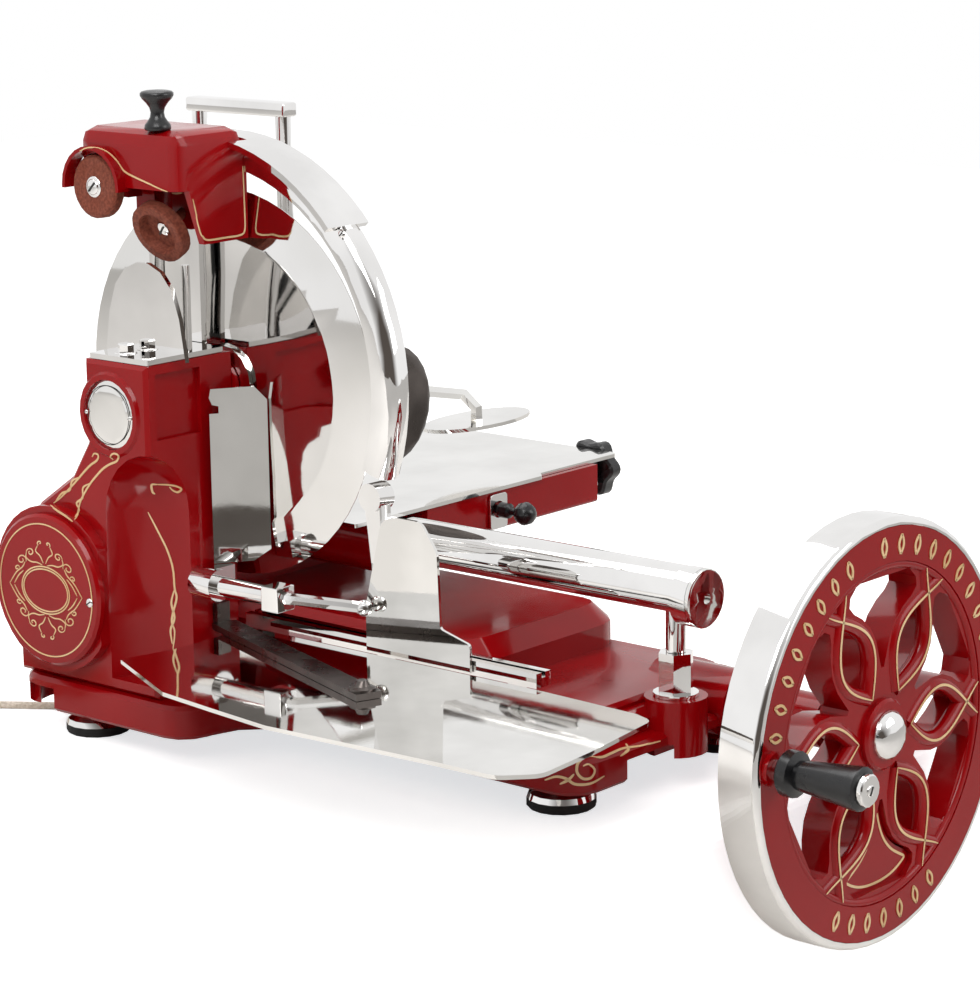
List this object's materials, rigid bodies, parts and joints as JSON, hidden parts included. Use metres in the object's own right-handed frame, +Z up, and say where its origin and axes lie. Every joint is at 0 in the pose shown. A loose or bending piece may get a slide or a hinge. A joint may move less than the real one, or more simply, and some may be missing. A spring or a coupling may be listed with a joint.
{
  "type": "hand crank meat slicer",
  "caption": "Red hand crank flywheel meat slicer with a round blade, sliding meat table, press, sharpener, slice tray, feet and a cream cord.",
  "frame": {"origin": "bottom centre of the machine's box without its cord, level with the lowest point of the flywheel's rim", "axes": "+Z up, +X along the blade's axis from the slice tray to the meat table, -Y from the machine to the person at the flywheel's handle"},
  "size_m": [0.6098, 0.8653, 0.612],
  "materials": {
    "black_plastic": "glossy black moulded resin",
    "black_rubber": "matte black",
    "brass": "satin",
    "brown_stone": "red-brown bonded abrasive",
    "chrome": "bright plating",
    "cream_cord": "cream braided sleeve",
    "dark_steel": "oiled dark steel",
    "polished_steel": "mirror-polished steel",
    "red_enamel": "deep glossy red stove enamel on cast iron"
  },
  "bodies": {
    "machine": {"badge_disc": "polished_steel", "bar_end_cap": "polished_steel", "bar_post": "chrome", "bar_rear_support": "dark_steel", "base_casting": "red_enamel", "blade_bush": "brass", "blade_guard_ring": "chrome", "carriage_bar": "chrome", "column_casting": "red_enamel", "cord_coil": "cream_cord", "cord_gland": "black_rubber", "cord_lead": "cream_cord", "cord_plug": "cream_cord", "deflector_rod": "chrome", "drive_chain": "dark_steel", "foot_dome_1": "chrome", "foot_dome_2": "chrome", "foot_dome_3": "chrome", "foot_dome_4": "chrome", "foot_pad_1": "black_rubber", "foot_pad_2": "black_rubber", "foot_pad_3": "black_rubber", "foot_pad_4": "black_rubber", "front_bush": "brass", "guard_end_bracket": "chrome", "guide_rail": "chrome", "hex_standoff": "chrome", "rear_bush": "brass", "round_cover": "red_enamel", "shaft_housing": "red_enamel", "sharpener_bracket": "chrome", "slice_guard_plate": "polished_steel", "tray": "polished_steel", "tray_arm": "dark_steel"},
    "flywheel": {"flywheel_rim": "chrome", "flywheel_web": "red_enamel", "main_shaft": "polished_steel", "hub_cap": "chrome", "handle_stud": "chrome", "handle_cap": "chrome", "drive_gear": "polished_steel"},
    "grip": {"handle_grip": "black_plastic"},
    "cross_drive": {"cross_shaft": "polished_steel", "cross_gear": "polished_steel", "drive_sprocket": "polished_steel"},
    "blade_unit": {"blade": "polished_steel", "blade_shaft": "polished_steel", "driven_sprocket": "polished_steel"},
    "carriage": {"carriage_slide": "red_enamel"},
    "release_lever": {"ball_knob": "black_plastic"},
    "table": {"meat_table": "polished_steel", "press_frame": "chrome"},
    "press": {"press_plate": "polished_steel", "press_disc": "dark_steel"},
    "feed": {"feed_knob": "black_plastic"},
    "sharpener": {"sharpener_housing": "red_enamel", "sharpener_knob": "black_plastic"},
    "grinding_wheel": {"grinding_stone": "brown_stone"},
    "truing_wheel": {"truing_stone": "brown_stone"},
    "deflector": {"deflector_plate": "polished_steel"}
  },
  "joints": [
    {"name": "flywheel_spin", "type": "hinge", "parent": "machine", "child": "flywheel", "pos_m": [0.06725, -0.2864, 0.1585], "axis": [0, 1, 0], "continuous": true},
    {"name": "grip_spin", "type": "hinge", "parent": "flywheel", "child": "grip", "pos_m": [-0.07202, -0.2864, 0.16653], "axis": [0, 1, 0], "continuous": true},
    {"name": "cross_spin", "type": "hinge", "parent": "machine", "child": "cross_drive", "pos_m": [-0.09075, 0.3026, 0.2295], "axis": [1, 0, 0], "continuous": true},
    {"name": "blade_spin", "type": "hinge", "parent": "machine", "child": "blade_unit", "pos_m": [-0.09075, 0.2146, 0.3845], "axis": [1, 0, 0], "continuous": true},
    {"name": "carriage_travel", "type": "slide", "parent": "machine", "child": "carriage", "axis": [0, 1, 0], "range_m": [-0.245, 0]},
    {"name": "release_lever_pull", "type": "slide", "parent": "carriage", "child": "release_lever", "axis": [0, -1, 0], "range_m": [0, 0.004], "stiffness_N_per_m": 800, "springref_m": -0.002},
    {"name": "table_travel", "type": "slide", "parent": "carriage", "child": "table", "axis": [1, 0, 0], "range_m": [-0.001, 0.15]},
    {"name": "press_travel", "type": "slide", "parent": "table", "child": "press", "axis": [0, 0, 1], "range_m": [-0.028, 0.17]},
    {"name": "feed_knob_turn", "type": "hinge", "parent": "table", "child": "feed", "pos_m": [0.27525, 0.1546, 0.263], "axis": [1, 0, 0], "continuous": true},
    {"name": "sharpener_travel", "type": "slide", "parent": "machine", "child": "sharpener", "axis": [0, 0, 1], "range_m": [0, 0.03]},
    {"name": "grinding_stone_spin", "type": "hinge", "parent": "sharpener", "child": "grinding_wheel", "pos_m": [-0.16125, 0.2716, 0.5385], "axis": [1, 0, 0], "continuous": true},
    {"name": "truing_stone_spin", "type": "hinge", "parent": "sharpener", "child": "truing_wheel", "pos_m": [-0.14075, 0.2256, 0.507], "axis": [-0.8988, 0, -0.4384], "continuous": true},
    {"name": "deflector_travel", "type": "slide", "parent": "machine", "child": "deflector", "axis": [0, 0, 1], "range_m": [0, 0.1]}
  ],
  "couplings": [
    {"joint": "cross_spin", "follows": "flywheel_spin", "ratio": 1.25},
    {"joint": "blade_spin", "follows": "flywheel_spin", "ratio": 3.75}
  ]
}
